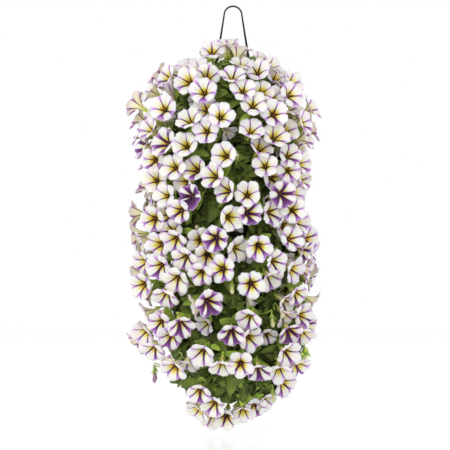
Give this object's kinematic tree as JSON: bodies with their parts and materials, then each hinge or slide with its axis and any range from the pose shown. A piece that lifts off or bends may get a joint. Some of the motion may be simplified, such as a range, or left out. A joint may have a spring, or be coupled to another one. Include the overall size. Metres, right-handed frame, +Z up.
{
  "type": "planted hanging flower pouch",
  "caption": "Column of striped petunias growing from a slit film pouch filled with compost, hung from a moulded inverted-U handle that pivots in side eyelets.",
  "frame": {"origin": "centre of the handle's hanging arch, where a hook holds it", "axes": "+Z up, +X across the handle to the right as seen from the front, -Y towards the front"},
  "size_m": [0.3597, 0.3501, 0.7713],
  "materials": {
    "handle_plastic": "satin moulded black plastic",
    "pouch_film": "dull dark green polyethylene film",
    "eyelet_plastic": "satin moulded plastic",
    "compost": "damp crumbly potting compost",
    "root_plug": "compost bound by pale roots",
    "leaf": "soft downy leaves and stems",
    "petal": "soft petals with violet stripes and a yellow throat",
    "bud": "soft closed buds"
  },
  "bodies": {
    "handle": {"handle": "handle_plastic"},
    "pouch": {"pouch": "pouch_film", "left_eyelet": "eyelet_plastic", "right_eyelet": "eyelet_plastic", "compost": "compost", "buds": "bud", "root_plug_crown": "root_plug", "root_plug_top_front": "root_plug", "root_plug_top_back": "root_plug", "root_plug_upper_left": "root_plug", "root_plug_upper_right": "root_plug", "root_plug_middle_front": "root_plug", "root_plug_middle_back": "root_plug", "root_plug_lower_left": "root_plug", "root_plug_lower_right": "root_plug", "root_plug_bottom_front": "root_plug", "root_plug_bottom_back": "root_plug", "foliage_crown": "leaf", "foliage_top_front": "leaf", "foliage_top_back": "leaf", "foliage_upper_left": "leaf", "foliage_upper_right": "leaf", "foliage_middle_front": "leaf", "foliage_middle_back": "leaf", "foliage_lower_left": "leaf", "foliage_lower_right": "leaf", "foliage_bottom_front": "leaf", "foliage_bottom_back": "leaf", "blooms_crown": "petal", "blooms_top_front": "petal", "blooms_top_back": "petal", "blooms_upper_left": "petal", "blooms_upper_right": "petal", "blooms_middle_front": "petal", "blooms_middle_back": "petal", "blooms_lower_left": "petal", "blooms_lower_right": "petal", "blooms_bottom_front": "petal", "blooms_bottom_back": "petal"}
  },
  "joints": [
    {"name": "pouch_swing", "type": "hinge", "parent": "handle", "child": "pouch", "pos_m": [0, 0, -0.158], "axis": [1, 0, 0], "range_deg": [-12, 12]}
  ]
}
